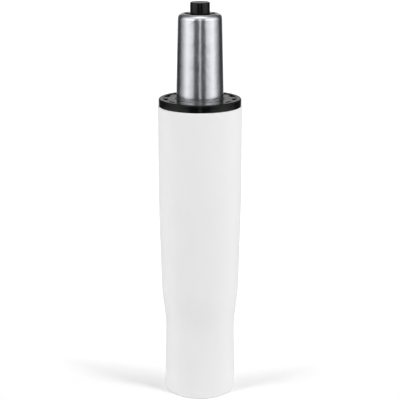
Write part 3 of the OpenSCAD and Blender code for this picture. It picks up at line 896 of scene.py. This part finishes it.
class GASLIFT_OT_button(bpy.types.Operator):
    """Mould the release button and the cap that guides it in the cylinder's mouth."""

    bl_idname = "gas_lift.button"
    bl_label = "Cap and button"

    def execute(self, context):
        sizes = context.scene.gas_lift.button
        cylinder = context.scene.gas_lift.cylinder
        cap_low = sizes.cap_foot + sizes.nose_height
        well = cap_low + sizes.cap_floor
        lip = cylinder.top - cylinder.wall
        neck = cylinder.mouth - sizes.cap_gap
        bore = sizes.radius + sizes.bore_gap
        cap = [
            (sizes.pin_bore, sizes.cap_foot, 0),
            (sizes.nose_radius, sizes.cap_foot, sizes.cap_edge),
            (sizes.nose_radius, cap_low, 0),
            (sizes.cap_radius, cap_low, sizes.cap_edge),
            (sizes.cap_radius, lip, cylinder.shoulder - cylinder.wall),
            (neck, lip, 0),
            (neck, sizes.cap_face, sizes.cap_edge),
            (bore, sizes.cap_face, sizes.cap_edge),
            (bore, well, 0),
            (sizes.pin_bore, well, 0),
        ]
        stand_for(turned("cap_insert", cap), "valve_cap")
        button = [
            (sizes.socket, sizes.foot, 0),
            (sizes.radius, sizes.foot, sizes.cap_edge),
            (sizes.radius, sizes.top, sizes.edge),
            (0, sizes.top, 0),
            (0, sizes.socket_top, 0),
            (sizes.socket, sizes.socket_top, 0),
        ]
        stand_for(turned("push_button", button), "release_button")
        return {"FINISHED"}


class GASLIFT_OT_inner_pieces(bpy.types.Operator):
    """Give every piece that keeps its CAD shape the finish of its slot."""

    bl_idname = "gas_lift.inner_pieces"
    bl_label = "Inner pieces"

    def execute(self, context):
        for name, piece in frame["nodes"].items():
            if not piece.hide_render:
                dress(piece, name)
        return {"FINISHED"}


# Studio

# Brightness of the tent by the angle from the camera, in degrees: a slit between two dark flags, a
# softbox on either side of them, and a dark back with a dimmer softbox low in its middle. The first list
# is for the tent's floor near the object, and the others follow upwards from the floor's edge
NEAR_BANDS = [
    (-180, 0.50), (-160, 0.50), (-148, 0.02), (-110, 0.02), (-94, 0.18), (-84, 0.50), (-70, 0.86),
    (-58, 0.86), (-46, 0.42), (-33, 0.05), (-5, 0.03), (-2, 0.20), (3, 0.20), (5.5, 0.03), (31, 0.04),
    (44, 0.32), (58, 0.86), (72, 0.88), (84, 0.50), (94, 0.18), (110, 0.02), (148, 0.02), (160, 0.50),
    (180, 0.50),
]
FOOT_BANDS = [
    (-180, 0.70), (-160, 0.70), (-148, 0.05), (-120, 0.06), (-106, 0.42), (-68, 1.16), (-36, 0.95),
    (-27, 0.07), (-5.5, 0.05), (-2, 0.95), (3, 0.95), (6, 0.05), (24, 0.07), (33, 0.92), (68, 1.20),
    (102, 0.48), (117, 0.06), (148, 0.05), (160, 0.70), (180, 0.70),
]
WALL_BANDS = [
    (-180, 0.06), (-160, 0.10), (-140, 0.07), (-118, 0.07), (-100, 0.55), (-70, 1.25), (-33, 1.25),
    (-25, 0.34), (-6, 0.34), (-2, 1.10), (3, 1.10), (7, 0.34), (25, 0.34), (33, 1.25), (70, 1.25),
    (100, 0.55), (118, 0.07), (140, 0.07), (160, 0.10), (180, 0.06),
]
SLOPE_BANDS = [
    (-180, 0.18), (-118, 0.18), (-90, 0.50), (-60, 0.72), (60, 0.72), (90, 0.50), (118, 0.18), (180, 0.18),
]
ROOF_BANDS = [
    (-180, 0.72), (-150, 0.48), (-122, 0.14), (-108, 0.25), (-90, 0.45), (-75, 0.75), (-58, 1.20),
    (-35, 1.35), (35, 1.35), (58, 1.20), (75, 0.75), (90, 0.45), (108, 0.25), (122, 0.14), (150, 0.48),
    (180, 0.72),
]
# Elevations in degrees, from the middle of the tent's dome, at which it has those bands
DOME = [
    (-1, FOOT_BANDS), (4, WALL_BANDS), (25, WALL_BANDS), (42, SLOPE_BANDS), (60, ROOF_BANDS),
    (89, ROOF_BANDS),
]
# Degrees in half a turn
HALF_TURN = 180
WHITE = (1, 1, 1, 1)


def level_at(degrees, bands):
    """Brightness of a wall with such bands at an angle from the camera."""
    for (low, dim), (high, bright) in zip(bands, bands[1:]):
        if low <= degrees <= high:
            return dim + (bright - dim) * (degrees - low) / (high - low)
    raise ValueError(f"no band at {degrees} degrees")


def seen_rays(nodes):
    """Factor that is 1 for the rays which see the background: camera, glossy and transmission."""
    path = nodes.add("ShaderNodeLightPath").outputs
    direct = nodes.math("MAXIMUM", path["Is Camera Ray"], path["Is Glossy Ray"])
    return nodes.math("MAXIMUM", direct, path["Is Transmission Ray"])


def white_world(settings):
    """World that is white to rays that see it, and to the rest a soft light, stronger from the sides."""
    world = bpy.data.worlds.new("white_studio")
    world.use_nodes = True
    nodes = ShaderNodes(world.node_tree)
    sideways = nodes.math("ABSOLUTE", nodes.axes(nodes.coordinates("Generated"))["X"])
    fill = nodes.ramp(sideways, 0, 1, settings.front_fill, settings.side_fill)
    soft = nodes.tree.nodes["Background"]
    nodes.put(WHITE, soft.inputs["Color"])
    nodes.put(fill, soft.inputs["Strength"])
    mix = nodes.add("ShaderNodeMixShader", Fac=seen_rays(nodes))
    nodes.put(soft.outputs["Background"], mix.inputs[1])
    nodes.put(nodes.out("ShaderNodeBackground", Color=WHITE), mix.inputs[2])
    nodes.end(mix.outputs["Shader"], "World Output")
    return world


def bare_material(name):
    """New material without a shader, and its nodes."""
    material = bpy.data.materials.new(name)
    material.use_nodes = True
    nodes = ShaderNodes(material.node_tree)
    nodes.tree.nodes.remove(nodes.tree.nodes["Principled BSDF"])
    return material, nodes


def floor_material(settings):
    """White floor with shadows near the foot, and a painted glow that lifts it to the background's white
    behind it and far away, washing out the shadows' tails.
    """
    material, nodes = bare_material("white_floor")
    place = nodes.coordinates("Object")
    axes = nodes.axes(place)
    aside = nodes.math("ABSOLUTE", axes["X"])
    behind = nodes.math("MULTIPLY_ADD", aside, -settings.shadow_slant, axes["Y"])
    distance = nodes.add("ShaderNodeVectorMath", {"operation": "LENGTH"}, Vector=place).outputs["Value"]
    # Painted glow: emission that rises behind and beside the foot, washing out the lamps' shadows, and
    # again far away
    lift = nodes.math(
        "MAXIMUM",
        nodes.ramp(
            behind, settings.shadow_start, settings.shadow_end, settings.floor_lift, settings.back_lift,
        ),
        nodes.ramp(distance, settings.far_start, settings.far_end, 0, settings.far_lift),
    )
    lit = nodes.out("ShaderNodeBsdfDiffuse", Color=(*settings.floor_colour, 1))
    glow = nodes.out("ShaderNodeEmission", Strength=nodes.math("MULTIPLY", lift, seen_rays(nodes)))
    both = nodes.add("ShaderNodeAddShader")
    nodes.put(lit, both.inputs[0])
    nodes.put(glow, both.inputs[1])
    nodes.end(both.outputs["Shader"])
    return material


def tent_material():
    """Light of the tent, as bright as each of its points says."""
    material, nodes = bare_material("studio_tent")
    level = nodes.add("ShaderNodeAttribute", {"attribute_name": "level"})
    nodes.end(nodes.out("ShaderNodeEmission", Strength=level.outputs["Fac"]))
    return material


def add_floor(settings):
    """Plain floor under the foot."""
    build = bmesh.new()
    bmesh.ops.create_grid(build, x_segments=1, y_segments=1, size=settings.floor_size / 2)
    floor = add_mesh("studio_floor", build)
    floor.data.materials.append(floor_material(settings))


def dome_point(rise, radius, settings):
    """Distance from the axis and height of a point of the dome at an elevation."""
    return radius * math.cos(rise), settings.tent_middle + radius * math.sin(rise)


def tent_profile(degrees, settings):
    """Radius, height and brightness of the tent's points at an angle from the camera, from the floor up."""
    floor = [
        (settings.tent_hole, FOOT_BANDS),
        (settings.tent_inner, FOOT_BANDS),
        (settings.tent_near, NEAR_BANDS),
        (settings.tent_far, FOOT_BANDS),
        (settings.tent_radius, FOOT_BANDS),
    ]
    rows = [(radius, settings.tent_lift, bands) for radius, bands in floor]
    for rise, bands in DOME:
        rows.append((*dome_point(math.radians(rise), settings.tent_radius, settings), bands))
    return [(radius, height, level_at(degrees, bands)) for radius, height, bands in rows]


def window_profile(degrees, settings):
    """Radius, height and brightness of the points of the window behind the object, alike at every angle."""
    radius = settings.tent_radius - settings.window_gap
    return [
        (*dome_point(rise, radius, settings), settings.window_level)
        for rise in (settings.window_sill, settings.window_head)
    ]


def add_wall(build, angles, profile, settings):
    """Wall of the tent over a row of angles in degrees from the camera, each with a profile's points."""
    level = build.verts.layers.float["level"]
    rows = []
    for degrees in angles:
        turn = math.radians(degrees)
        row = []
        for radius, height, bright in profile(degrees, settings):
            point = build.verts.new((radius * math.sin(turn), -radius * math.cos(turn), height))
            point[level] = bright
            row.append(point)
        rows.append(row)
    for here, there in zip(rows, rows[1:]):
        for low in range(len(here) - 1):
            build.faces.new((here[low], there[low], there[low + 1], here[low + 1]))


def add_tent(settings):
    """Tent of softboxes and dark flags round the object, which only reflections see."""
    build = bmesh.new()
    build.verts.layers.float.new("level")
    add_wall(build, range(-HALF_TURN, HALF_TURN + 1), tent_profile, settings)
    start = round(math.degrees(settings.window_turn))
    add_wall(build, range(start, 2 * HALF_TURN - start + 1), window_profile, settings)
    tent = add_mesh("studio_tent", build)
    tent.data.materials.append(tent_material())
    for ray in ("camera", "diffuse", "transmission", "shadow"):
        setattr(tent, f"visible_{ray}", False)


def add_lamp(name, side, power, settings):
    """One softbox beside the camera, on the left for side -1 and on the right for side 1."""
    lamp = bpy.data.lights.new(name, "AREA")
    lamp.size = settings.lamp_size
    lamp.energy = power
    turn = side * settings.lamp_turn
    reach = settings.lamp_distance
    place = Vector((reach * math.sin(turn), -reach * math.cos(turn), settings.lamp_height))
    aim = Vector((0, 0, top_of("column_tube") / 2))
    item = add_object(name, lamp)
    item.location = place
    item.rotation_euler = (aim - place).to_track_quat("-Z", "Y").to_euler()
    item.visible_glossy = False
    item.visible_camera = False


def add_camera(settings):
    """Camera at the photograph's height, distance and angle."""
    lens = bpy.data.cameras.new("studio_camera")
    lens.lens = settings.camera_lens
    camera = add_object("studio_camera", lens)
    camera.location = (0, -settings.camera_distance, settings.camera_height)
    camera.rotation_euler = (math.pi / 2 - settings.camera_pitch, 0, 0)
    bpy.context.scene.camera = camera


class GASLIFT_OT_stage(bpy.types.Operator):
    """Set up the white studio: floor, reflectors, softboxes, world and camera."""

    bl_idname = "gas_lift.stage"
    bl_label = "Studio"

    def execute(self, context):
        settings = context.scene.gas_lift.stage
        add_floor(settings)
        add_tent(settings)
        add_lamp("softbox_left", -1, settings.left_power, settings)
        add_lamp("softbox_right", 1, settings.right_power, settings)
        add_camera(settings)
        context.scene.world = white_world(settings)
        context.scene.view_settings.view_transform = "Standard"
        return {"FINISHED"}


OPERATORS = (
    GASLIFT_OT_column, GASLIFT_OT_bush, GASLIFT_OT_cylinder, GASLIFT_OT_button, GASLIFT_OT_inner_pieces,
    GASLIFT_OT_stage,
)


class GASLIFT_PT_panel(bpy.types.Panel):
    """Sidebar panel that lists the steps and the settings."""

    bl_idname = "GASLIFT_PT_panel"
    bl_label = "Gas lift"
    bl_space_type = "VIEW_3D"
    bl_region_type = "UI"
    bl_category = "Gas lift"

    def draw(self, context):
        settings = context.scene.gas_lift
        for operator in OPERATORS:
            self.layout.operator(operator.bl_idname)
        for group in ("column", "bush", "cylinder", "button", "colours", "stage"):
            box = self.layout.box()
            box.label(text=group.capitalize())
            values = getattr(settings, group)
            for name in values.__annotations__:
                box.prop(values, name)


CLASSES = (
    ColumnSizes, BushSizes, CylinderSizes, ButtonSizes, FinishColours, StageSettings, GasLiftSettings,
    *OPERATORS, GASLIFT_PT_panel,
)


def register():
    """Registers the classes and adds the settings to the scene."""
    for each in CLASSES:
        bpy.utils.register_class(each)
    bpy.types.Scene.gas_lift = bpy.props.PointerProperty(type=GasLiftSettings)


def unregister():
    """Takes the settings and the classes away again."""
    del bpy.types.Scene.gas_lift
    for each in reversed(CLASSES):
        bpy.utils.unregister_class(each)


def main():
    """Builds the pieces in order, then the studio."""
    register()
    bpy.ops.gas_lift.column()
    bpy.ops.gas_lift.bush()
    bpy.ops.gas_lift.cylinder()
    bpy.ops.gas_lift.button()
    bpy.ops.gas_lift.inner_pieces()
    bpy.ops.gas_lift.stage()


if __name__ == "__main__":
    main()
